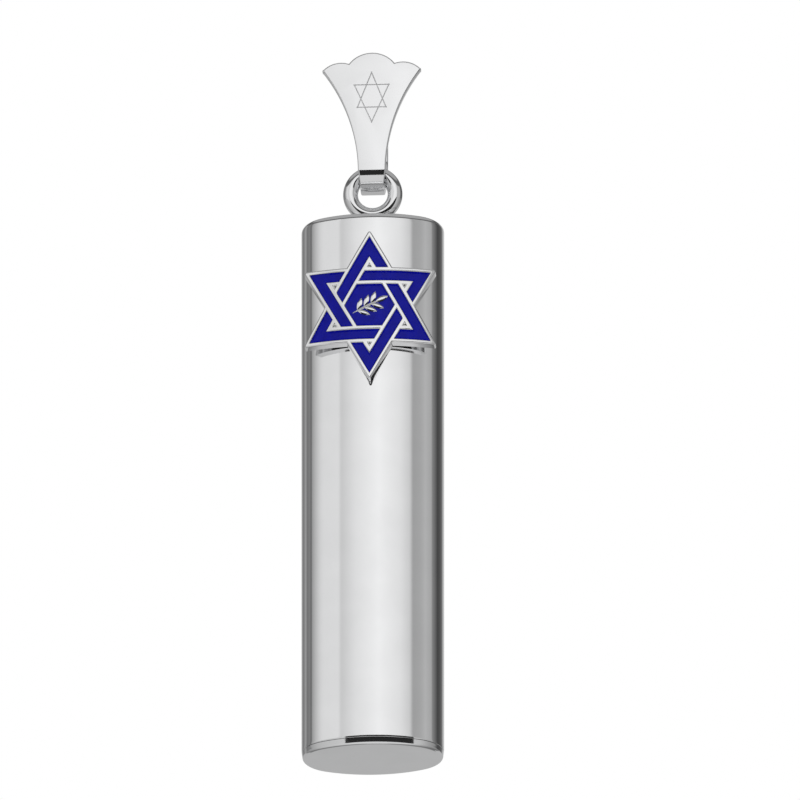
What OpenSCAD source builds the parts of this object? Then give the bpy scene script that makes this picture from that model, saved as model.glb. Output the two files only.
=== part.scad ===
// Pendant mezuzah case: an oval silver tube that holds a rolled parchment, with a soldered
// hanging loop, an enamelled star on the front and a fan-shaped bail that a chain runs through.
// Origin at the chain's seat in the bail. +Z is up, and the star faces -Y.

/* [Case] */
// Width of the oval tube
case_w = 10; // [9.6:0.1:10.4]
// Depth of the oval tube
case_d = 6.4; // [6.2:0.1:6.6]
// Height from the flat underside to the rim of the top
case_h = 39.9; // [38:0.1:44]
// Radius of the tube's broad front and back faces
face_r = 8; // [7.8:0.1:8.4]
// Wall of the drawn tube
wall = 0.45; // [0.4:0.05:0.5]
// Rounding of the top plate's edge
edge_r = 0.35; // [0.3:0.05:0.4]
// Rise of the top plate above its rim
crown = 0.45; // [0.3:0.05:0.5]

/* [Loop] */
// Radius of the hanging loop to the middle of its wire
loop_r = 1.56; // [1.5:0.01:1.6]
// Diameter of the loop's wire
loop_wire = 1.05; // [0.9:0.05:1.1]

/* [Bail] */
// Thickness of the bail's strip
strip_t = 0.52; // [0.45:0.01:0.55]
// Height of the chain's seat above the rim of the top
seat_h = 8.9; // [8.6:0.1:9.4]
// Height of the fan's middle lobe above the rim of the top
fan_top = 12.6; // [12.4:0.1:13]
// Distance from the fan's centre line to its corners
fan_half = 3.45; // [3.3:0.05:3.6]

/* [Star] */
// Distance from the star's centre to where its outer edges would meet
star_r = 5.63; // [5.4:0.01:5.7]
// Depth of the star's centre below the rim of the top
star_drop = 7.3; // [7:0.1:10]
// Width of the star, as a share of a regular star's width
star_wide = 0.98; // [0.95:0.01:1]
// Thickness of the star
star_t = 0.75; // [0.6:0.05:0.8]
// Radius that the star's back is bent to, flatter than the tube
back_r = 12.2; // [11:0.1:14]
// Width of the raised borders
border = 0.27; // [0.25:0.01:0.29]
// Width of the enamel bands
band = 0.72; // [0.7:0.01:0.74]

/* [Scroll] */
// Outer diameter of the rolled parchment
scroll_d = 3.8; // [3:0.1:3.9]
// Height of the rolled parchment
scroll_h = 32; // [28:1:33]

/* [Hidden] */
$fn = 96;

// The oval: two broad arcs and two end arcs that meet without a corner
half_w = case_w / 2;
half_d = case_d / 2;
end_r = (pow(face_r, 2) - pow(half_w, 2) - pow(face_r - half_d, 2)) / (2 * (face_r - half_w));
end_x = half_w - end_r;
face_y = face_r - half_d;
face_ang = asin(end_x / (face_r - end_r));
far = 20;

// Heights, and the thickness of the plates at both ends of the tube
rim_z = -seat_h;
base_z = rim_z - case_h;
cap_t = 0.7;
base_t = 0.5;
seam = 0.02;

// Top plate, its locating lip and the push-in plug
crown_w = end_r - 0.16;
crown_r = (pow(crown_w - edge_r, 2) + pow(crown, 2)) / (2 * crown);
lip_t = 0.5;
lip_h = 0.8;
plate_t = 0.45;
slip = 0.05;
collar_t = 0.4;
collar_h = 2.5;
bead = 0.25;

// Loop and the bend of the bail that hangs in it
foot_cut = 0.08;
loop_z = rim_z + crown + loop_r + loop_wire / 2 - foot_cut;
bend_z = loop_z + 1.424;
bend_in = 0.86;
bend_out = bend_in + strip_t;
bend_mid = (bend_in + bend_out) / 2;
strap_half = 0.97;
bend_half = 0.84;

// Back leg of the bail
bow_r = 1.6;
bow_y = 0.5;
bow_ang = acos(1 - bow_y / (2 * bow_r));
top_in = 0.8;
solder_gap = 0.03;
solder_r = 0.28;

// Lines of the star, as distances from its centre
edge_d = star_r / 2;
outer_d = edge_d - border;
inner_d = outer_d - band;
hex_d = inner_d - border;
tip_r = 0.13;
star_z = rim_z - star_drop;
star_gap = 0.05;
star_y = back_r - half_d - star_gap;
pad_d = 2.2;
floor_r = back_r + star_t / 2;
front_r = back_r + star_t;
enamel_drop = 0.06;
enamel_clear = 0.01;
dimple = 0.15;

silver = [0.86, 0.87, 0.88];
solder = [0.78, 0.79, 0.80];
blue = [0.09, 0.11, 0.55];
parchment = [0.90, 0.84, 0.70];

// ---------- Shapes used by several pieces ----------

// The tube's oval, moved in by a distance
module oval(inset = 0) {
    side = [far * sin(face_ang), far * cos(face_ang)];
    for (s = [-1, 1]) {
        intersection() {
            translate([0, -s * face_y]) circle(face_r - inset);
            polygon([[-end_x, 0], [end_x, 0], [end_x + side.x, s * side.y], [-end_x - side.x, s * side.y]]);
        }
        intersection() {
            translate([s * end_x, 0]) circle(end_r - inset);
            polygon([[s * end_x, 0], [s * (end_x + side.x), side.y], [s * far * 2, 0],
                     [s * (end_x + side.x), -side.y]]);
        }
    }
}

// Carries an edge profile round the oval: x = 0 is the outer surface and y is height
module round_oval() {
    for (s = [0, 1]) {
        mirror([0, s, 0]) translate([0, face_y, 0]) rotate([0, 0, -90 - face_ang])
            rotate_extrude(angle = 2 * face_ang) translate([face_r, 0]) children();
        mirror([s, 0, 0]) translate([end_x, 0, 0]) rotate([0, 0, face_ang - 90])
            rotate_extrude(angle = 180 - 2 * face_ang) translate([end_r, 0]) children();
    }
}

// Section of the top plate's edge, with its outer corner rounded
module plate_edge(w) {
    translate([-w, 0]) square([w, cap_t - edge_r]);
    translate([-w, 0]) square([w - edge_r, cap_t]);
    translate([-edge_r, cap_t - edge_r]) intersection() {
        circle(edge_r);
        square(edge_r);
    }
}

// A bead of solder round the inside of an oval wall
module solder_bead(inset) linear_extrude(bead) difference() {
    oval(inset);
    oval(inset + bead);
}

// A solid drawn in the Y-Z plane and extruded to both sides of X = 0
module across(width) {
    translate([-width / 2, 0, 0]) rotate([90, 0, 90]) linear_extrude(width) children();
}

// A solid drawn in the X-Z plane and extruded from y = 0 to the front
module forward(depth) {
    rotate([90, 0, 0]) linear_extrude(depth) children();
}

module loop_ring() {
    translate([0, 0, loop_z]) rotate([90, 0, 0]) rotate_extrude() translate([loop_r, 0]) circle(loop_wire / 2);
}

// ---------- Case ----------

module case_tube() color(silver) {
    translate([0, 0, base_z + base_t + seam]) linear_extrude(case_h - cap_t - base_t - seam) difference() {
        oval();
        oval(wall);
    }
}

// Section of the top plate from its rim to where the crown levels off
module crown_edge() {
    plate_edge(crown_w);
    translate([0, cap_t]) intersection() {
        translate([-crown_w, crown - crown_r]) circle(crown_r);
        translate([-crown_w, -edge_r]) square([crown_w - edge_r, crown + edge_r]);
    }
}

module top_cap() color(silver) translate([0, 0, rim_z - cap_t]) {
    difference() {
        union() {
            round_oval() crown_edge();
            linear_extrude(cap_t + crown) oval(crown_w);
        }
        translate([0, 0, -1]) linear_extrude(1 + cap_t - plate_t) oval(wall + lip_t);
    }
    translate([0, 0, -lip_h]) linear_extrude(lip_h) difference() {
        oval(wall);
        oval(wall + lip_t);
    }
}

module top_cap_solder() color(solder) translate([0, 0, rim_z - cap_t - lip_h - bead]) solder_bead(wall);

module hanging_loop() color(silver) difference() {
    loop_ring();
    translate([-loop_wire, -loop_wire, rim_z + crown - loop_wire]) cube([2, 2, 1] * loop_wire);
}

// The pool of solder that holds the loop's foot
module loop_solder() color(solder) difference() {
    hull() for (s = [-1, 1]) translate([s * 0.5, 0, rim_z + crown]) cylinder(0.2, 0.5, 0.28, $fn = 32);
    loop_ring();
}

// ---------- Star ----------

// Where the line at distance d1 along direction a1 crosses the line at d2 along a2
function meet(a1, d1, a2, d2) =
    [d1 * sin(a2) - d2 * sin(a1), d2 * cos(a1) - d1 * cos(a2)] / sin(a2 - a1);

// Bends flat points to the star's curve, as seen from the front
function wrap(points) = [for (p = points) [star_wide * front_r * sin(p.x / front_r * 180 / PI), p.y]];

// One point of the star and the notch after it
function star_point(t) = concat(
    [for (a = [60 : -20 : -60]) (star_r - 2 * tip_r) * [cos(t), sin(t)] + tip_r * [cos(t + a), sin(t + a)]],
    [meet(t, edge_d, t - 60, edge_d)]
);
star_outline = [for (k = [0 : 5]) each star_point(90 - 60 * k)];

// One hooked enamel band: it runs from under one crossing, over the next and round a point
function arm(t, c) = [
    meet(t + 60, outer_d - c, t - 60, outer_d - c),
    meet(t - 60, outer_d - c, t, edge_d + c),
    meet(t - 60, inner_d + c, t, edge_d + c),
    meet(t + 60, inner_d + c, t - 60, inner_d + c),
    meet(t + 60, inner_d + c, t + 120, hex_d - c),
    meet(t + 60, outer_d - c, t + 120, hex_d - c)
];

function hexagon(d) = [for (k = [0 : 5]) meet(30 + 60 * k, d, 90 + 60 * k, d)];

// A slice of the star between two radii of its curve
module star_slice(r0, r1) intersection() {
    translate([0, star_y, star_z - star_r]) linear_extrude(2 * star_r) difference() {
        circle(r1);
        circle(r0);
    }
    translate([0, 0, star_z]) forward(half_d + star_t + 1) children();
}

// A leaf that starts at the origin and grows along +X
module leaf(l, w) {
    r = (pow(l, 2) + pow(w, 2)) / (4 * w);
    intersection_for(s = [-1, 1]) translate([l / 2, s * (r - w / 2)]) circle(r);
}

// A leafy sprig for the middle of the star
module sprig(grow = 0) rotate(26) {
    translate([-1.3, -0.07 - grow]) square([2.1, 0.14 + 2 * grow]);
    translate([0.55 - grow, 0]) leaf(0.85 + 2 * grow, 0.36 + 2 * grow);
    for (x = [-0.95 : 0.55 : 0.2], s = [-1, 1])
        translate([x, 0]) rotate(s * 42) translate([-grow, 0]) leaf(0.88 + 2 * grow, 0.33 + 2 * grow);
}

module star_plate() color(silver) {
    difference() {
        star_slice(back_r, front_r) polygon(wrap(star_outline));
        star_slice(floor_r, front_r + 1) for (k = [0 : 5]) polygon(wrap(arm(90 - 60 * k, 0)));
        star_slice(floor_r, front_r + 1) polygon(wrap(hexagon(hex_d)));
        star_slice(front_r - dimple, front_r + 1) for (k = [0 : 5]) {
            t = 90 - 60 * k;
            polygon(wrap([meet(t + 60, hex_d, t - 60, hex_d), meet(t - 60, hex_d, t, edge_d),
                          meet(t + 60, hex_d, t, edge_d)]));
        }
    }
    star_slice(floor_r - 0.05, front_r) sprig();
}

// The pad of solder that fills the space between the tube and the middle of the star
module star_solder() color(solder) difference() {
    star_slice(back_r - star_t, back_r) polygon(wrap(hexagon(pad_d)));
    translate([0, face_y, base_z]) cylinder(case_h, face_r + seam, face_r + seam);
}

module enamel_arm(k) color(blue)
    star_slice(floor_r, front_r - enamel_drop) polygon(wrap(arm(90 - 60 * (k - 1), enamel_clear)));

module enamel_center() color(blue) star_slice(floor_r, front_r - enamel_drop) difference() {
    polygon(wrap(hexagon(hex_d - enamel_clear)));
    sprig(enamel_clear);
}

// ---------- Push-in plug ----------

module end_plate() color(silver) translate([0, 0, base_z]) linear_extrude(base_t) oval();

module end_collar() color(silver) translate([0, 0, base_z + base_t]) linear_extrude(collar_h) difference() {
    oval(wall + slip);
    oval(wall + slip + collar_t);
}

module collar_solder() color(solder) translate([0, 0, base_z + base_t]) solder_bead(wall + slip + collar_t);

// ---------- Scroll ----------

module scroll() color(parchment) translate([0, 0, base_z + base_t]) linear_extrude(scroll_h) difference() {
    circle(d = scroll_d);
    circle(d = scroll_d / 3);
}

// The paper band that keeps the parchment rolled
module scroll_band() color("white") translate([0, 0, base_z + base_t + scroll_h / 2 - 3])
    linear_extrude(6) difference() {
        circle(d = scroll_d + 0.16);
        circle(d = scroll_d);
    }

// ---------- Bail ----------

// Points on the arc from p to q that bulges to the left of the way by a height
function arc(p, q, rise, n) =
    let (c = norm(q - p), r = (pow(c / 2, 2) + pow(rise, 2)) / (2 * abs(rise)), s = sign(rise),
         u = (q - p) / c, v = [-u.y, u.x], m = (p + q) / 2 + v * (rise - s * r), h = asin(c / 2 / r))
    [for (i = [0 : n]) let (a = -h + 2 * h * i / n) m + r * (u * sin(a) + v * s * cos(a))];

// The fan's right corner, the notch beside its middle lobe, and its foot
fan_corner = [fan_half, fan_top - 1.3];
fan_notch = [1.6, fan_top - 0.8];
fan_foot = [strap_half, bend_z - rim_z];

// Half of the fan's outline, clockwise from the middle of the top
fan_right = concat(
    [[0, fan_top]],
    [for (p = arc([-fan_notch.x, fan_notch.y], fan_notch, 0.8, 24)) if (p.x > 0.01) p],
    [for (p = arc(fan_notch, fan_corner + [-0.09, 0.1], 0.26, 12)) if (p.x > fan_notch.x) p],
    [fan_corner],
    arc(fan_corner + [-0.07, -0.13], fan_foot, -0.58, 24)
);
fan_outline = concat(fan_right, [for (i = [len(fan_right) - 1 : -1 : 1]) [-fan_right[i].x, fan_right[i].y]]);

// Points of a round stretch about a centre, from one direction to another
function turn(centre, r, a0, a1) =
    [for (i = [0 : 12]) let (a = a0 + (a1 - a0) * i / 12) centre + r * [cos(a), sin(a)]];

// Side view of the back leg, from the bend up and over to the back of the fan
module leg_profile() {
    half_t = strip_t / 2;
    leg_y = bend_mid + bow_y;
    bow_low = [bend_mid + bow_r, bend_z];
    bow_high = [leg_y - bow_r, bend_z + 2 * bow_r * sin(bow_ang)];
    over = [leg_y - half_t - top_in, -top_in];
    end_y = -bend_in + solder_gap;
    polygon(concat(
        turn(bow_low, bow_r - half_t, 180, 180 - bow_ang),
        turn(bow_high, bow_r + half_t, -bow_ang, 0),
        turn(over, top_in + strip_t, 0, 90),
        [[end_y, strip_t], [end_y, 0]],
        turn(over, top_in, 90, 0),
        turn(bow_high, bow_r - half_t, 0, -bow_ang),
        turn(bow_low, bow_r + half_t, 180 - bow_ang, 180)
    ));
}

// A thin line of the engraved star
module engraved(p, q) {
    u = (q - p) / norm(q - p) * 0.06;
    v = [-u.y, u.x];
    polygon([p - u + v, q + u + v, q + u - v, p - u - v]);
}

module engraved_star() {
    up = [[0, fan_top - 1.5], [1, fan_top - 4.1], [-1, fan_top - 4.1]];
    down = [[0, fan_top - 5.2], [1.21, fan_top - 2.42], [-1.21, fan_top - 2.42]];
    for (t = [up, down], i = [0 : 2]) engraved(t[i], t[(i + 1) % 3]);
}

module bail() color(silver) {
    // Fan with its engraved star
    difference() {
        translate([0, -bend_in, rim_z]) forward(strip_t) polygon(fan_outline);
        translate([0, -bend_out + 0.07, rim_z]) forward(1) engraved_star();
    }
    // Bend that hangs in the loop, narrower at its lowest point
    intersection() {
        across(2 * strap_half) difference() {
            translate([0, bend_z]) circle(bend_out);
            translate([0, bend_z]) circle(bend_in);
            translate([-far, bend_z]) square(2 * far);
        }
        translate([0, far, bend_z]) forward(2 * far) polygon([
            [strap_half, 0], [bend_half, -0.8], [bend_half, -1.1], [bend_half - 0.18, -bend_out],
            [0.18 - bend_half, -bend_out], [-bend_half, -1.1], [-bend_half, -0.8], [-strap_half, 0]
        ]);
    }
    across(2 * strap_half) leg_profile();
}

module bail_solder() color(solder) across(2 * strap_half) {
    translate([-bend_in, 0]) square([solder_gap, strip_t]);
    for (s = [0, 1]) translate([-bend_in, s * strip_t]) mirror([0, 1 - s]) difference() {
        square(solder_r);
        translate([solder_r, solder_r]) circle(solder_r);
    }
}

case_tube();
top_cap();
top_cap_solder();
hanging_loop();
loop_solder();
star_plate();
star_solder();
enamel_arm(1);  // enamel_arm_1
enamel_arm(2);  // enamel_arm_2
enamel_arm(3);  // enamel_arm_3
enamel_arm(4);  // enamel_arm_4
enamel_arm(5);  // enamel_arm_5
enamel_arm(6);  // enamel_arm_6
enamel_center();
end_plate();
end_collar();
collar_solder();
scroll();
scroll_band();
bail();
bail_solder();
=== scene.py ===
"""Looks of a pendant mezuzah case: a silver tube with an enamelled star, a loop, a bail, a plug and a scroll.
Lengths are millimetres and angles are degrees until a mesh is made. +Z is up, and the star faces -Y."""

import math

import bmesh
import bpy
from mathutils import Matrix, Vector
from mathutils.geometry import tessellate_polygon


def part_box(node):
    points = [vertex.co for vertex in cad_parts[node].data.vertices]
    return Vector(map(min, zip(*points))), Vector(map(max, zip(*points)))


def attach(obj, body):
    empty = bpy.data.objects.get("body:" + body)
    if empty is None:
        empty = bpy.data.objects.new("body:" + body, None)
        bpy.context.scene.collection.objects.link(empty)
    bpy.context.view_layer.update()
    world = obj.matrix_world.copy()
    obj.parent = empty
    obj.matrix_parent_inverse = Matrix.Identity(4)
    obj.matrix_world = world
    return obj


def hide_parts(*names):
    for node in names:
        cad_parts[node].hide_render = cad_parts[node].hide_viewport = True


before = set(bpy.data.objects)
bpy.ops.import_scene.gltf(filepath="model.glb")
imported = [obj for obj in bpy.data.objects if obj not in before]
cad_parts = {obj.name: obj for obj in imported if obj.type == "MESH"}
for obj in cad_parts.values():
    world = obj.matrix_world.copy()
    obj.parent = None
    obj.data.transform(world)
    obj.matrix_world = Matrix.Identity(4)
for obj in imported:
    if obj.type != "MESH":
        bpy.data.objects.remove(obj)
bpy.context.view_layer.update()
MM = 0.001


def extent(node):
    """Lowest and highest corner of a CAD node, in millimetres."""
    low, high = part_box(node)
    return low / MM, high / MM


# ---------- Sizes ----------

tube_low, tube_high = extent("case_tube")
cap_low, cap_high = extent("top_cap")
plate_low, plate_high = extent("end_plate")
collar_low, collar_high = extent("end_collar")
star_low, star_high = extent("star_plate")
loop_low, loop_high = extent("hanging_loop")
bail_low, bail_high = extent("bail")
scroll_low, scroll_high = extent("scroll")
band_low, band_high = extent("scroll_band")

# The tube's oval: two broad faces and two round ends that meet without a corner
HALF_W = tube_high.x
HALF_D = tube_high.y
FACE_R = 8.0
END_R = (FACE_R**2 - HALF_W**2 - (FACE_R - HALF_D) ** 2) / (2 * (FACE_R - HALF_W))
END_X = HALF_W - END_R
FACE_Y = FACE_R - HALF_D
FACE_ANG = math.degrees(math.asin(END_X / (FACE_R - END_R)))
WALL = 0.45
SLIP = 0.05
COLLAR_T = 0.4

# Plates at both ends
CROWN = 0.45
RIM_Z = cap_high.z - CROWN
CAP_T = RIM_Z - tube_high.z
LIP_T = 0.5
PLATE_T = 0.45
EDGE_R = 0.5
END_EDGE_R = 0.2

# Loop
WIRE_R = -loop_low.y
LOOP_R = loop_high.x - WIRE_R
LOOP_Z = loop_high.z - LOOP_R - WIRE_R

# Bail: one strip of even thickness
STRIP_T = 0.52
SOFT = 0.1
BEND_OUT = -bail_low.y
BEND_MID = BEND_OUT - STRIP_T / 2
BEND_Z = bail_low.z + BEND_OUT
FOOT_Z = BEND_Z + 0.04
SOLDER_GAP = 0.03
STRAP_HALF = 0.97
WAIST = 0.13
WAIST_DEPTH = 0.9
BOW_R = 1.6
BOW_Y = bail_high.y - STRIP_T / 2 - BEND_MID
BOW_ANG = math.degrees(math.acos(1 - BOW_Y / (2 * BOW_R)))
TOP_R = 0.8 + STRIP_T / 2
FAN_TOP = bail_high.z
FAN_HALF = bail_high.x

# Star: distances of its lines from its centre, and heights above its back
TIP_R = 0.13
STAR_R = (star_high.z - star_low.z) / 2 + TIP_R
STAR_Z = (star_high.z + star_low.z) / 2
BORDER = 0.27
BAND = 0.72
EDGE_D = STAR_R / 2
OUTER_D = EDGE_D - BORDER
INNER_D = OUTER_D - BAND
HEX_D = INNER_D - BORDER
BACK_R = 12.2
STAR_WIDE = 0.98
STAR_T = 0.75
FLOOR_H = STAR_T / 2
ENAMEL_H = STAR_T - 0.06
FRONT_R = BACK_R + STAR_T
STAR_Y = star_low.y + FRONT_R


# ---------- Meshes ----------


def make(name, parts, material, body, nodes, crease=35):
    """One piece from several (vertices, faces) parts. It stands for CAD nodes and rides on their body."""
    mesh = bpy.data.meshes.new(name)
    bm = bmesh.new()
    for points, faces in parts:
        verts = [bm.verts.new(Vector(p) * MM) for p in points]
        for face in faces:
            if len(set(face)) > 2:
                bm.faces.new([verts[i] for i in face])
    bmesh.ops.remove_doubles(bm, verts=bm.verts, dist=1e-7)
    bmesh.ops.dissolve_degenerate(bm, dist=1e-8, edges=bm.edges)
    bmesh.ops.recalc_face_normals(bm, faces=bm.faces)
    bm.to_mesh(mesh)
    bm.free()
    piece = bpy.data.objects.new(name, mesh)
    bpy.context.scene.collection.objects.link(piece)
    mesh.shade_smooth()
    mesh.set_sharp_from_angle(angle=math.radians(crease))
    mesh.materials.append(material)
    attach(piece, body)
    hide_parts(*nodes)
    return piece


def loft(rings, around=True, ends=True, loop=False):
    """Skin over rings of equal length: around closes each ring, and ends fills the first and the last, which
    loop joins instead."""
    n = len(rings[0])
    count = len(rings)
    faces = []
    for r in range(count if loop else count - 1):
        for i in range(n if around else n - 1):
            a, b = r * n + i, r * n + (i + 1) % n
            c, d = ((r + 1) % count) * n + (i + 1) % n, ((r + 1) % count) * n + i
            faces.append((a, b, c, d))
    if ends and not loop:
        faces += [tuple(range(n)), tuple(range((count - 1) * n, count * n))]
    return [p for ring in rings for p in ring], faces


def turn(centre, r, a0, a1, steps):
    """Points of a round stretch in a plane."""
    angles = [math.radians(a0 + (a1 - a0) * i / steps) for i in range(steps + 1)]
    return [(centre[0] + r * math.cos(a), centre[1] + r * math.sin(a)) for a in angles]


def oval(inset, z):
    """The tube's oval at one height, moved in by a distance."""
    side = 90 - FACE_ANG
    stretches = [
        ((END_X, 0), END_R, -side, side, 40),
        ((0, -FACE_Y), FACE_R, side, 180 - side, 40),
        ((-END_X, 0), END_R, 180 - side, 180 + side, 40),
        ((0, FACE_Y), FACE_R, 180 + side, 360 - side, 40),
    ]
    flat = [p for c, r, a0, a1, n in stretches for p in turn(c, r - inset, a0, a1, n)[:-1]]
    return [(x, y, z) for x, y in flat]


def ovals(profile):
    """Rings of the oval from (inset, height) pairs."""
    return [oval(inset, z) for inset, z in profile]


# ---------- Case ----------


def buffed(z):
    """How far buffing has drawn the side in, close above the underside. It starts softly at one height."""
    start, slope, ease = 0.64, 0.07, 0.06
    s = start - (z - plate_low.z)
    return slope * (s + math.hypot(s, ease))


def case_tube(material):
    z0, z1 = tube_low.z, tube_high.z
    edge, step = 0.015, 0.06
    side = [(buffed(z), z) for z in [z0 + edge + step * i for i in range(9)]]
    profile = side + [(0, z1), (WALL, z1), (WALL, z0 + edge), (WALL - edge, z0), (side[0][0] + edge, z0)]
    make("tube", [loft(ovals(profile), loop=True)], material, "case", ["case_tube"])


def top_cap(material):
    """Crowned plate: underside, lip, flush side, rounded rim and crown, from the middle out and back."""
    middle, lead = END_R - 0.16, 0.05
    run = middle - EDGE_R
    crown_r = (run**2 + CROWN**2) / (2 * CROWN)
    under = RIM_Z - PLATE_T
    shelf = RIM_Z - CAP_T
    lip = cap_low.z
    rim = [(EDGE_R - x, z) for x, z in turn((0, RIM_Z - EDGE_R), EDGE_R, 0, 90, 8)]
    crown = []
    for i in range(1, 15):
        s = run * (1 - i / 14)
        crown.append((middle - s, RIM_Z + CROWN - crown_r + math.sqrt(crown_r**2 - s**2)))
    profile = [(middle, under), (WALL + LIP_T, under), (WALL + LIP_T, lip + lead), (WALL + LIP_T - lead, lip)]
    profile += [(WALL + lead, lip), (WALL, lip + lead), (WALL, shelf), (0, shelf)]
    make("top_plate", [loft(ovals(profile + rim + crown))], material, "case", ["top_cap"])


def hanging_loop(material):
    wire = turn((LOOP_R, 0), WIRE_R, 0, 360, 40)[:-1]
    rings = []
    for a in [math.radians(3.75 * i) for i in range(96)]:
        rings.append([(r * math.sin(a), y, LOOP_Z + r * math.cos(a)) for r, y in wire])
    make("loop", [loft(rings, loop=True)], material, "case", ["hanging_loop"])


def loop_solder(material):
    """A low pool with a soft edge that climbs the loop's foot."""
    half_x, half_y = 0.86, 0.46
    round_about = [2 * math.pi * i / 32 for i in range(32)]
    rings = []
    for reach, rise in [(1.0, -0.02), (0.97, 0.02), (0.86, 0.07), (0.7, 0.13), (0.5, 0.2), (0.25, 0.27)]:
        rings.append([(half_x * reach * math.cos(a), half_y * reach * math.sin(a), cap_high.z + rise)
                      for a in round_about])
    make("loop_solder_pool", [loft(rings)], material, "case", ["loop_solder"], 60)


# ---------- Plug and scroll ----------


def end_plate(material):
    z0, z1 = plate_low.z, plate_high.z
    middle, lead, step = 2.2, 0.015, 0.08
    side = [(buffed(z), z) for z in [z1 - lead - step * i for i in range(4)]]
    foot = buffed(z0 + END_EDGE_R)
    edge = [(foot + END_EDGE_R - x, z0 + END_EDGE_R - z) for x, z in turn((0, 0), END_EDGE_R, 8, 90, 8)]
    profile = [(middle, z1), (side[0][0] + lead, z1)] + side + edge + [(middle, z0)]
    make("end_plate_disc", [loft(ovals(profile))], material, "end_plug", ["end_plate"])


def end_collar(material):
    outer, inner = WALL + SLIP, WALL + SLIP + COLLAR_T
    z0, z1 = collar_low.z, collar_high.z
    lead, chamfer = 0.12, 0.05
    profile = [(outer, z0), (outer, z1 - 2 * lead), (outer + lead, z1)]
    profile += [(inner - chamfer, z1), (inner, z1 - chamfer), (inner, z0)]
    skirt = loft(ovals(profile), loop=True)
    make("plug_skirt", [skirt], material, "end_plug", ["end_collar"])


def rolled(r_in, r_out, thick, turns, z0, z1, steps):
    """A sheet rolled up round Z, from its inner edge to its outer edge."""
    total = int(turns * steps)
    soft = thick * 0.35
    sections = []
    for i in range(total + 1):
        a = 2 * math.pi * i / steps
        r = r_in + (r_out - thick - r_in) * i / total
        corners = [(r, z0 + soft), (r, z1 - soft), (r + soft, z1), (r + thick - soft, z1)]
        corners += [(r + thick, z1 - soft), (r + thick, z0 + soft), (r + thick - soft, z0), (r + soft, z0)]
        sections.append([(c * math.cos(a), c * math.sin(a), z) for c, z in corners])
    return loft(sections)


def scroll(material):
    sheet, turns = 0.09, 9.3
    part = rolled(scroll_high.x / 3, scroll_high.x, sheet, turns, scroll_low.z, scroll_high.z, 48)
    make("parchment_roll", [part], material, "scroll", ["scroll"])


def scroll_band(material):
    inner, outer = scroll_high.x, band_high.x + 0.02
    sheet, turns = 0.045, 1.15
    part = rolled(inner, outer, sheet, turns, band_low.z, band_high.z, 64)
    make("paper_sleeve", [part], material, "scroll", ["scroll_band"])


# ---------- Star ----------


def meet(a1, d1, a2, d2):
    """Where the line at distance d1 along direction a1 crosses the line at d2 along a2."""
    a1, a2 = math.radians(a1), math.radians(a2)
    s = math.sin(a2 - a1)
    return ((d1 * math.sin(a2) - d2 * math.sin(a1)) / s, (d2 * math.cos(a1) - d1 * math.cos(a2)) / s)


def star_outline(inset):
    """The star with its points rounded, moved in by a distance."""
    points = []
    for k in range(6):
        t = 90 - 60 * k
        tip = [(STAR_R - 2 * TIP_R) * f(math.radians(t)) for f in (math.cos, math.sin)]
        points += turn(tip, TIP_R - inset, t + 60, t - 60, 6)
        points.append(meet(t, EDGE_D - inset, t - 60, EDGE_D - inset))
    return points


def arm(t, c):
    """A hooked band that runs from under one crossing, over the next and round a point, moved in by c."""
    return [
        meet(t + 60, OUTER_D - c, t - 60, OUTER_D - c),
        meet(t - 60, OUTER_D - c, t, EDGE_D + c),
        meet(t - 60, INNER_D + c, t, EDGE_D + c),
        meet(t + 60, INNER_D + c, t - 60, INNER_D + c),
        meet(t + 60, INNER_D + c, t + 120, HEX_D - c),
        meet(t + 60, OUTER_D - c, t + 120, HEX_D - c),
    ]


def hexagon(d):
    return [meet(30 + 60 * k, d, 90 + 60 * k, d) for k in range(6)]


def dimple(t, c):
    """The small triangle between two bands inside a point of the star, moved in by c."""
    corners = [(t + 60, HEX_D - c, t - 60, HEX_D - c), (t - 60, HEX_D - c, t, EDGE_D + c)]
    corners.append((t + 60, HEX_D - c, t, EDGE_D + c))
    return [meet(*corner) for corner in corners]


def filled(outlines, h):
    """A flat face at one height, bounded by the first outline and with the others as holes."""
    points = [(x, y, h) for outline in outlines for x, y in outline]
    return points, [tuple(t) for t in tessellate_polygon([[Vector((*p, 0)) for p in o] for o in outlines])]


def stacked(outline_at, steps):
    """A wall through (distance, height) steps of an outline."""
    return loft([[(x, y, h) for x, y in outline_at(c)] for c, h in steps], ends=False)


def wrapped(parts, width=5.2, pitch=0.26):
    """Flat (across, up, height) parts, cut into narrow strips and bent to the star's curve."""
    bm = bmesh.new()
    for points, faces in parts:
        verts = [bm.verts.new(p) for p in points]
        for face in faces:
            bm.faces.new([verts[i] for i in face])
    bmesh.ops.remove_doubles(bm, verts=bm.verts, dist=1e-5)
    for i in range(int(2 * width / pitch) + 1):
        everything = bm.verts[:] + bm.edges[:] + bm.faces[:]
        bmesh.ops.bisect_plane(bm, geom=everything, dist=1e-5, plane_co=(i * pitch - width, 0, 0),
                               plane_no=(1, 0, 0))
    bm.verts.index_update()
    points = []
    for v in bm.verts:
        x = STAR_WIDE * FRONT_R * math.sin(v.co.x / FRONT_R)
        points.append((x, STAR_Y - math.sqrt((BACK_R + v.co.z) ** 2 - x**2), STAR_Z + v.co.y))
    faces = [tuple(v.index for v in f.verts) for f in bm.faces]
    bm.free()
    return points, faces


def rounding(r, top):
    """(distance, height) steps of a rounded edge that starts flat on top and ends upright."""
    return [(-r * (1 - math.sin(a)), top - r * (1 - math.cos(a)))
            for a in [math.radians(90 * i / 4) for i in range(5)]]


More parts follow.
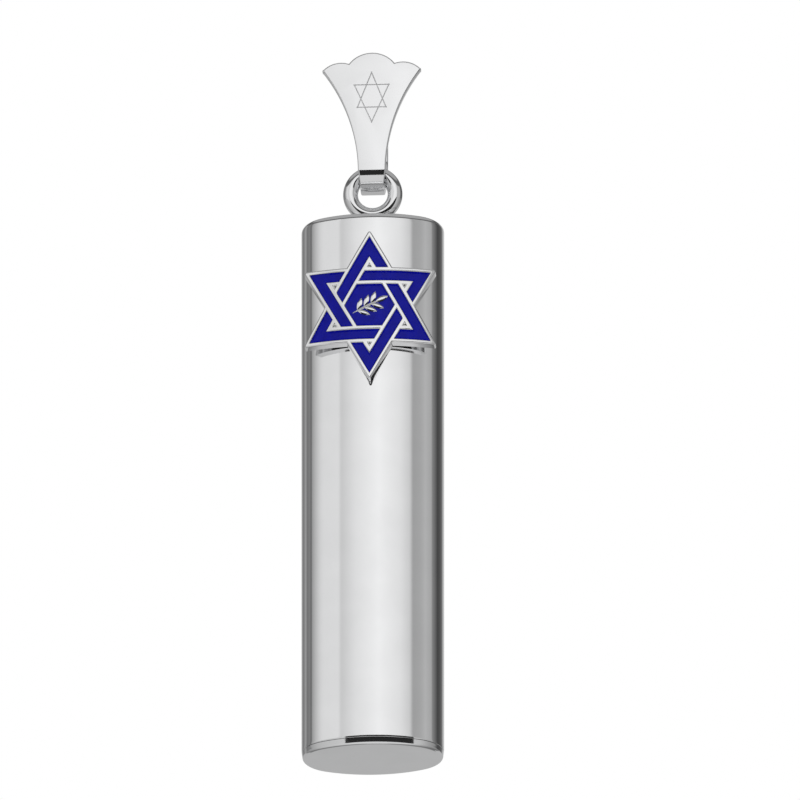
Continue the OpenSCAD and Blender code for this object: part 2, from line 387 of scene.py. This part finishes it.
def leaf(x0, y0, angle, length, width, low, high):
    """A pointed leaf with a domed top."""
    rows, columns = 12, 8
    rings = []
    for i in range(rows + 1):
        s = i / rows
        half = width / 2 * math.sin(math.pi * min(max(s, 0.03), 0.97)) ** 0.8
        ring = []
        for j in range(columns + 1):
            t = -1 + 2 * j / columns
            rise = math.sqrt(max(0.0, 1 - t * t)) * (0.35 + 0.65 * math.sin(math.pi * s) ** 0.5)
            dome = 0.8 * (j % columns != 0) + 0.2 * rise
            ring.append((s * length, t * half, low + (high - low) * dome))
        ring += [(s * length, half, low - 0.02), (s * length, -half, low - 0.02)]
        rings.append(ring)
    points, faces = loft(rings)
    turned = Matrix.Rotation(math.radians(angle), 3, "Z")
    return [tuple(turned @ Vector(p) + Vector((x0, y0, 0))) for p in points], faces


def sprig():
    """A stem with paired leaves and a leaf at its tip, leaning to the right."""
    lean = 26
    along = Vector((math.cos(math.radians(lean)), math.sin(math.radians(lean))))
    low, high = FLOOR_H, STAR_T
    tip = leaf(*(along * 0.45), lean, 1.0, 0.5, low, high)
    stem = leaf(*(along * -1.35), lean, 2.3, 0.22, low, high)
    parts = [tip, stem]
    splay, length, width = 46, 0.95, 0.44
    for x in (-0.95, -0.4, 0.15):
        parts += [leaf(*(along * x), lean + turned, length, width, low, high) for turned in (-splay, splay)]
    return parts


def star(material):
    """Rounded borders round the cells that hold the enamel, a dimple in each point, and the sprig."""
    soft, fine, rim = 0.05, 0.03, 0.1
    cells = [lambda c, t=90 - 60 * k: arm(t, c) for k in range(6)] + [lambda c: hexagon(HEX_D - c)]
    dimples = [lambda c, t=90 - 60 * k: dimple(t, c) for k in range(6)]
    top = [star_outline(rim)] + [cell(-soft) for cell in cells] + [d(-fine) for d in dimples]
    parts = [filled(top, STAR_T), filled([star_outline(0)], 0)]
    side = [(-c, h) for c, h in rounding(rim, STAR_T)] + [(0, 0)]
    parts.append(stacked(star_outline, side))
    for cell in cells:
        parts += [stacked(cell, rounding(soft, STAR_T) + [(0, FLOOR_H)]), filled([cell(0)], FLOOR_H)]
    slope, bottom = 0.09, STAR_T - 0.15
    for d in dimples:
        parts += [stacked(d, rounding(fine, STAR_T) + [(slope, bottom)]), filled([d(slope)], bottom)]
    make("star_casting", [wrapped(parts), wrapped(sprig())], material, "case", ["star_plate"])


def enamel(name, cell, material, node):
    """Glass in one cell: it climbs a little where it meets the silver."""
    climb = [(0.01, 0.025), (0.03, 0.008), (0.07, -0.004), (0.14, -0.012), (0.24, -0.015)]
    steps = [(0.01, FLOOR_H + 0.01)] + [(c, ENAMEL_H + h) for c, h in climb]
    under, top = [filled([cell(c)], h) for c, h in (steps[0], steps[-1])]
    make(name, [wrapped([under, stacked(cell, steps), top])], material, "case", [node], 50)


# ---------- Bail ----------


def arc(p, q, rise, n):
    """Points from p to q on the arc that bulges to the left of the way by a height."""
    p, q = Vector(p), Vector(q)
    c = (q - p).length
    r = ((c / 2) ** 2 + rise**2) / (2 * abs(rise))
    s = math.copysign(1, rise)
    u = (q - p) / c
    v = Vector((-u.y, u.x))
    m = (p + q) / 2 + v * (rise - s * r)
    h = math.asin(c / 2 / r)
    angles = [-h + 2 * h * i / n for i in range(n + 1)]
    return [m + r * (u * math.sin(a) + v * s * math.cos(a)) for a in angles]


def fan_outline(foot_z):
    """The fan's outline, clockwise from the middle of its top, with three lobes and a narrow foot."""
    corner = Vector((FAN_HALF, FAN_TOP - 1.3))
    lobe_end, side_start = corner + Vector((-0.09, 0.1)), corner + Vector((-0.07, -0.13))
    notch = Vector((1.6, FAN_TOP - 0.8))
    middle = [p for p in arc((-notch.x, notch.y), notch, 0.8, 48) if p.x > 0.01]
    outer = arc(notch, lobe_end, 0.26, 20)[1:]
    tip = arc(lobe_end, side_start, 0.09, 5)[1:-1]
    side = arc(side_start, (STRAP_HALF, foot_z), -0.58, 40)
    right = [Vector((0, FAN_TOP))] + middle + outer + tip + side
    return right + [Vector((-p.x, p.y)) for p in reversed(right[1:])]


def shrunk(outline, d):
    """A clockwise outline moved in by a distance, its foot kept at the same height."""
    n = len(outline)
    points = []
    for i, p in enumerate(outline):
        a, b = (p - outline[i - 1]).normalized(), (outline[(i + 1) % n] - p).normalized()
        inward = (Vector((a.y, -a.x)) + Vector((b.y, -b.x))).normalized()
        q = p + inward * d / max(0.5, inward.dot(Vector((a.y, -a.x))))
        points.append(Vector((q.x, p.y)) if abs(p.y - outline[n // 2].y) < 1e-6 else q)
    return points


def section(half):
    """The strip's cross-section across X, as (across, out) points with rounded corners."""
    x, y = half - SOFT, STRIP_T / 2 - SOFT
    points = []
    for corner, a in (((x, y), 0), ((-x, y), 90), ((-x, -y), 180), ((x, -y), 270)):
        points += turn(corner, SOFT, a, a + 90, 4)
    return points


def strap():
    """The strip from the fan's foot: down, through the loop, up the bowed leg and over to the fan's back."""
    top = STRIP_T / 2
    leg_y = BEND_MID + BOW_Y
    high_z = BEND_Z + 2 * BOW_R * math.sin(math.radians(BOW_ANG))
    over = (leg_y - TOP_R, top - TOP_R)
    stretches = [
        ((0, BEND_Z), BEND_MID, 180, 360, 180, 360, 32),
        ((BEND_MID + BOW_R, BEND_Z), BOW_R, 180, 180 - BOW_ANG, 0, -BOW_ANG, 8),
        ((leg_y - BOW_R, high_z), BOW_R, -BOW_ANG, 0, -BOW_ANG, 0, 8),
        (over, TOP_R, 0, 90, 0, 90, 16),
    ]
    path = [(-BEND_MID, FOOT_Z, 180), (-BEND_MID, BEND_Z, 180)]
    for centre, r, a0, a1, out0, out1, steps in stretches:
        points = turn(centre, r, a0, a1, steps)
        path += [(*points[i], out0 + (out1 - out0) * i / steps) for i in range(1, steps + 1)]
    path.append((SOLDER_GAP - BEND_MID + STRIP_T / 2, top, 90))
    rings = []
    for y, z, out in path:
        depth = max(0.0, min(1.0, (BEND_Z - z) / WAIST_DEPTH))
        half = STRAP_HALF - WAIST * depth
        oy, oz = math.cos(math.radians(out)), math.sin(math.radians(out))
        rings.append([(x, y + d * oy, z + d * oz) for x, d in section(half)])
    return loft(rings)


def engraving():
    """V-shaped cutters for the two thin triangles on the fan."""
    up = [(0, FAN_TOP - 1.5), (1, FAN_TOP - 4.1), (-1, FAN_TOP - 4.1)]
    down = [(0, FAN_TOP - 5.2), (1.21, FAN_TOP - 2.42), (-1.21, FAN_TOP - 2.42)]
    half, deep, front = 0.065, 0.016, -BEND_OUT
    parts = []
    for corners in (up, down):
        for i in range(3):
            p, q = Vector(corners[i]), Vector(corners[(i + 1) % 3])
            u = (q - p).normalized() * half
            v = Vector((-u.y, u.x))
            parts.append(loft([[(e.x + v.x, front - 0.01, e.y + v.y), (e.x - v.x, front - 0.01, e.y - v.y),
                                (e.x, front + deep, e.y)] for e in (p - u, q + u)]))
    return parts


def bail(material, engraved):
    outline = fan_outline(FOOT_Z)
    back, front = -BEND_OUT + STRIP_T, -BEND_OUT
    angles = [math.radians(22.5 * i) for i in range(5)]
    steps = [(SOFT * (1 - math.sin(a)), SOFT * (1 - math.cos(a))) for a in angles]
    levels = [(d, front + y) for d, y in steps] + [(d, back - y) for d, y in reversed(steps)]
    rings = [[(p.x, y, p.y) for p in shrunk(outline, d)] for d, y in levels]
    piece = make("bail_strip", [loft(rings)], material, "bail", ["bail"])
    cutters = []
    for i, part in enumerate(engraving()):
        mesh = bpy.data.meshes.new(f"cutter_{i}")
        mesh.from_pydata([Vector(p) * MM for p in part[0]], [], part[1])
        mesh.materials.append(engraved)
        bm = bmesh.new()
        bm.from_mesh(mesh)
        bmesh.ops.recalc_face_normals(bm, faces=bm.faces)
        bm.to_mesh(mesh)
        bm.free()
        cutters.append(bpy.data.objects.new(mesh.name, mesh))
        bpy.context.scene.collection.objects.link(cutters[-1])
        cut = piece.modifiers.new(mesh.name, "BOOLEAN")
        cut.object, cut.operation = cutters[-1], "DIFFERENCE"
        cut.solver, cut.material_mode = "EXACT", "TRANSFER"
    cut_mesh = bpy.data.meshes.new_from_object(piece.evaluated_get(bpy.context.evaluated_depsgraph_get()))
    piece.modifiers.clear()
    for cutter in cutters:
        bpy.data.objects.remove(cutter)
    bm = bmesh.new()
    bm.from_mesh(cut_mesh)
    points, faces = strap()
    verts = [bm.verts.new(Vector(p) * MM) for p in points]
    for face in faces:
        bm.faces.new([verts[i] for i in face])
    bmesh.ops.recalc_face_normals(bm, faces=bm.faces)
    bm.to_mesh(cut_mesh)
    bm.free()
    cut_mesh.shade_smooth()
    cut_mesh.set_sharp_from_angle(angle=math.radians(30))
    bm = bmesh.new()
    bm.from_mesh(cut_mesh)
    for edge in bm.edges:
        if len({face.material_index for face in edge.link_faces}) > 1:
            edge.smooth = False
    bm.to_mesh(cut_mesh)
    bm.free()
    piece.data = cut_mesh


# ---------- Materials ----------

# Most of a noise field lies between these
FIELD_LOW = 0.3
FIELD_HIGH = 0.7


def material(name, colour, metallic, roughness):
    """A principled material, its node tree and its shader."""
    m = bpy.data.materials.new(name)
    m.use_nodes = True
    shader = m.node_tree.nodes["Principled BSDF"]
    shader.inputs["Base Color"].default_value = (*colour, 1)
    shader.inputs["Metallic"].default_value = metallic
    shader.inputs["Roughness"].default_value = roughness
    return m, m.node_tree, shader


def noise(tree, scale, detail=4.0, stretch=(1, 1, 1)):
    """Noise with a pattern size in millimetres along each axis."""
    place = tree.nodes.new("ShaderNodeTexCoord")
    fit = tree.nodes.new("ShaderNodeMapping")
    fit.inputs["Scale"].default_value = [1 / (MM * scale * s) for s in stretch]
    field = tree.nodes.new("ShaderNodeTexNoise")
    field.inputs["Scale"].default_value = 1
    field.inputs["Detail"].default_value = detail
    tree.links.new(place.outputs["Object"], fit.inputs["Vector"])
    tree.links.new(fit.outputs["Vector"], field.inputs["Vector"])
    return field.outputs["Fac"]


def between(tree, value, low, high):
    """Stretches the middle part of a field to run from low to high."""
    node = tree.nodes.new("ShaderNodeMapRange")
    for key, number in (("From Min", FIELD_LOW), ("From Max", FIELD_HIGH), ("To Min", low), ("To Max", high)):
        node.inputs[key].default_value = number
    tree.links.new(value, node.inputs["Value"])
    return node.outputs["Result"]


def relief(tree, shader, fields):
    """Stacks (field, height in millimetres) pairs into the shader's normal."""
    last = None
    for value, height in fields:
        bump = tree.nodes.new("ShaderNodeBump")
        bump.inputs["Distance"].default_value = height * MM
        bump.inputs["Strength"].default_value = 1
        tree.links.new(value, bump.inputs["Height"])
        if last:
            tree.links.new(last, bump.inputs["Normal"])
        last = bump.outputs["Normal"]
    tree.links.new(last, shader.inputs["Normal"])


def shades(tree, shader, value, dark, light):
    """Base colour that varies with a field."""
    ramp = tree.nodes.new("ShaderNodeValToRGB")
    for stop, place, colour in zip(ramp.color_ramp.elements, (FIELD_LOW, FIELD_HIGH), (dark, light)):
        stop.position = place
        stop.color = (*colour, 1)
    tree.links.new(value, ramp.inputs["Fac"])
    tree.links.new(ramp.outputs["Color"], shader.inputs["Base Color"])


def silver(name, smooth, rough, wave, lines, stretch):
    """Silver: a slow wave from hand polishing, fine lines along one way, and patches that are less bright."""
    bright = 0.93
    m, tree, shader = material(name, (bright, bright, bright + 0.01), 1, smooth)
    dull, clean = [[bright + d, bright + d + 0.003, bright + d + 0.01] for d in (-0.02, 0.02)]
    shades(tree, shader, noise(tree, 2.5), dull, clean)
    tree.links.new(between(tree, noise(tree, 1.4, 8), smooth, rough), shader.inputs["Roughness"])
    relief(tree, shader, [(noise(tree, 6, 1), wave), (noise(tree, 0.05, 2, stretch), lines)])
    return m


def blue_enamel():
    m, tree, shader = material("cobalt_enamel", (0.0015, 0.0025, 0.28), 0, 0.08)
    shades(tree, shader, noise(tree, 0.5), (0.0012, 0.002, 0.24), (0.002, 0.004, 0.32))
    shader.inputs["Specular IOR Level"].default_value = 0.16
    relief(tree, shader, [(noise(tree, 0.8, 2), 0.004)])
    return m


def parchment():
    m, tree, shader = material("parchment_skin", (0.72, 0.6, 0.4), 0, 0.75)
    shades(tree, shader, noise(tree, 3, 8), (0.6, 0.47, 0.28), (0.8, 0.7, 0.5))
    tree.links.new(between(tree, noise(tree, 0.4, 6), 0.6, 0.85), shader.inputs["Roughness"])
    relief(tree, shader, [(noise(tree, 0.12, 6), 0.012), (noise(tree, 2, 2), 0.02)])
    return m


def band_paper():
    m, tree, shader = material("sleeve_paper", (0.86, 0.84, 0.78), 0, 0.85)
    shades(tree, shader, noise(tree, 0.15, 8, (1, 1, 4)), (0.78, 0.75, 0.67), (0.9, 0.88, 0.83))
    relief(tree, shader, [(noise(tree, 0.08, 4, (1, 1, 5)), 0.008)])
    return m


# ---------- Studio ----------

# Azimuths in front, and the elevations of the walls and of the tent above them
FRONT = (-28, 40)
LEVEL = (-19, 8)
HIGH = (8, 34)


def direction(azimuth, elevation):
    """Unit vector towards a place round the object. Azimuth 0 is in front, 90 is to the right."""
    a, e = math.radians(azimuth), math.radians(elevation)
    return Vector((math.sin(a) * math.cos(e), -math.cos(a) * math.cos(e), math.sin(e)))


def camera(azimuth, elevation, width, aim):
    """A camera without perspective whose picture is so many millimetres wide."""
    data = bpy.data.cameras.new("camera")
    data.type, data.ortho_scale = "ORTHO", width * MM
    back = direction(azimuth, elevation)
    distance = 300
    eye = bpy.data.objects.new("camera", data)
    eye.location = (Vector(aim) + back * distance) * MM
    eye.rotation_mode = "QUATERNION"
    eye.rotation_quaternion = (-back).to_track_quat("-Z", "Y")
    data.clip_start, data.clip_end = 0.01, 20
    bpy.context.scene.collection.objects.link(eye)
    bpy.context.scene.camera = eye


def glowing(name, tree_maker):
    """An emissive material whose colour is wired up by a function of its tree and its emission node."""
    m = bpy.data.materials.new(name)
    m.use_nodes = True
    tree = m.node_tree
    tree.nodes.clear()
    light = tree.nodes.new("ShaderNodeEmission")
    out = tree.nodes.new("ShaderNodeOutputMaterial")
    tree.links.new(light.outputs["Emission"], out.inputs["Surface"])
    tree_maker(tree, light)
    return m


def screen(name, azimuths, elevations, radius, levels, upright=False):
    """A curved studio screen round the object, with (angle, level) stops along its azimuth or, upright, its
    elevation. The camera and matt surfaces look past it: only polished ones see it."""
    (a0, a1), (e0, e1) = azimuths, elevations
    across, up = 96, 12
    rows = [[direction(a0 + (a1 - a0) * i / across, e0 + (e1 - e0) * j / up) * radius
             for i in range(across + 1)] for j in range(up + 1)]
    points, faces = loft(rows, around=False, ends=False)
    mesh = bpy.data.meshes.new(name)
    mesh.from_pydata([p * MM for p in points], [], faces)
    share = mesh.attributes.new("share", "FLOAT", "POINT")
    shares = [j / up if upright else i / across for j in range(up + 1) for i in range(across + 1)]
    share.data.foreach_set("value", shares)
    low, high = elevations if upright else azimuths

    def paint(tree, light):
        value = tree.nodes.new("ShaderNodeAttribute")
        value.attribute_name = "share"
        ramp = tree.nodes.new("ShaderNodeValToRGB")
        stops = ramp.color_ramp.elements
        while len(stops) < len(levels):
            stops.new(0.5)
        for stop, (angle, level) in zip(stops, levels):
            stop.position = (angle - low) / (high - low)
            stop.color = (level, level, level, 1)
        tree.links.new(value.outputs["Fac"], ramp.inputs["Fac"])
        tree.links.new(ramp.outputs["Color"], light.inputs["Color"])

    mesh.materials.append(glowing(name, paint))
    piece = bpy.data.objects.new(name, mesh)
    piece.visible_camera = piece.visible_diffuse = False
    bpy.context.scene.collection.objects.link(piece)


def studio():
    """White surroundings, a pale floor, and screens in shades of grey that the silver mirrors."""
    scene = bpy.context.scene
    scene.view_settings.view_transform = "Standard"
    world = bpy.data.worlds.new("studio")
    world.use_nodes = True
    world.node_tree.nodes["Background"].inputs["Color"].default_value = (1, 1, 1, 1)
    scene.world = world
    mesh = bpy.data.meshes.new("floor")
    reach, floor_z = 4000 * MM, -360 * MM
    corners = [(x * reach, y * reach, floor_z) for x, y in ((-1, -1), (1, -1), (1, 1), (-1, 1))]
    mesh.from_pydata(corners, [], [(0, 1, 2, 3)])
    pale, tree, shader = material("pale_floor", (0.6, 0.6, 0.6), 0, 0.7)
    shades(tree, shader, noise(tree, 40), (0.58, 0.58, 0.58), (0.62, 0.62, 0.62))
    mesh.materials.append(pale)
    floor = bpy.data.objects.new("floor", mesh)
    scene.collection.objects.link(floor)
    far, flag, near = 3000, 2900, 1000
    dark = [(FRONT[0], 0.02), (FRONT[1], 0.02)]
    screen("light_tent", (-170, 160), HIGH, far, [
        (-170, 0.5), (-150, 0.3), (-139, 0.18), (-131, 0.25), (-123, 0.35), (-112, 0.17), (-101, 0.22),
        (-92, 0.14), (-88, 0.33), (-75, 0.48), (-52, 0.72), (-36, 0.74), (-33, 0.6), (-18, 0.77), (5, 0.91),
        (27, 0.77), (37, 0.62), (40, 0.36), (64, 0.46), (86, 0.39), (91, 0.23), (103, 0.14), (114, 0.06),
        (126, 0.08), (140, 0.13), (160, 0.58)])
    screen("back_wall", (160, 190), HIGH, far, [(160, 0.58), (190, 0.5)])
    screen("ceiling", (-180, 180), (34, 89), far, [(34, 0.14), (44, 0.1), (50, 0.36), (89, 0.4)], True)
    screen("upper_flag", FRONT, (8, 12), flag, dark)
    screen("camera_flag", FRONT, LEVEL, near, dark)
    screen("left_wall", (-180, -28), LEVEL, near, [(-180, 0.5), (-110, 0.25), (-70, 0.45), (-28, 0.6)])
    screen("right_wall", (40, 180), LEVEL, near, [(40, 0.55), (75, 0.35), (115, 0.2), (180, 0.5)])
    screen("low_reflector", (-180, 180), (-85, -19), 345, [
        (-180, 0.3), (-120, 0.15), (-60, 0.5), (-28, 0.64), (40, 0.64), (50, 0.4), (110, 0.12), (180, 0.3)])
    screen("back_card", (120, 240), (-45, -3), 340, [(120, 0.47), (240, 0.43)])


# ---------- The pendant ----------

polished = silver("polished_silver", 0.055, 0.075, 0.002, 0.00008, (1, 1, 14))
cast = silver("cast_silver", 0.07, 0.14, 0.006, 0.0003, (1, 1, 2))
drawn = silver("drawn_silver", 0.22, 0.36, 0.006, 0.001, (1, 1, 20))
flowed = silver("flowed_solder", 0.2, 0.34, 0.02, 0.0012, (2, 2, 2))
cobalt = blue_enamel()

case_tube(polished)
top_cap(polished)
hanging_loop(polished)
loop_solder(flowed)
star(cast)
for k in range(6):
    enamel(f"enamel_band_{k + 1}", lambda c, t=90 - 60 * k: arm(t, c), cobalt, f"enamel_arm_{k + 1}")
enamel("enamel_middle", lambda c: hexagon(HEX_D - c), cobalt, "enamel_center")
end_plate(polished)
end_collar(drawn)
scroll(parchment())
scroll_band(band_paper())
bail(polished, silver("engraved_silver", 0.5, 0.6, 0.001, 0.001, (2, 2, 2)))
for node in ("top_cap_solder", "star_solder", "collar_solder", "bail_solder"):
    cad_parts[node].data.materials.clear()
    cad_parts[node].data.materials.append(flowed)

studio()
azimuth, elevation, picture_width = 3.5, -21, 56
right = Vector((math.cos(math.radians(azimuth)), math.sin(math.radians(azimuth)), 0))
camera(azimuth, elevation, picture_width, Vector((0, 0, -21.84)) + right * 1.9)
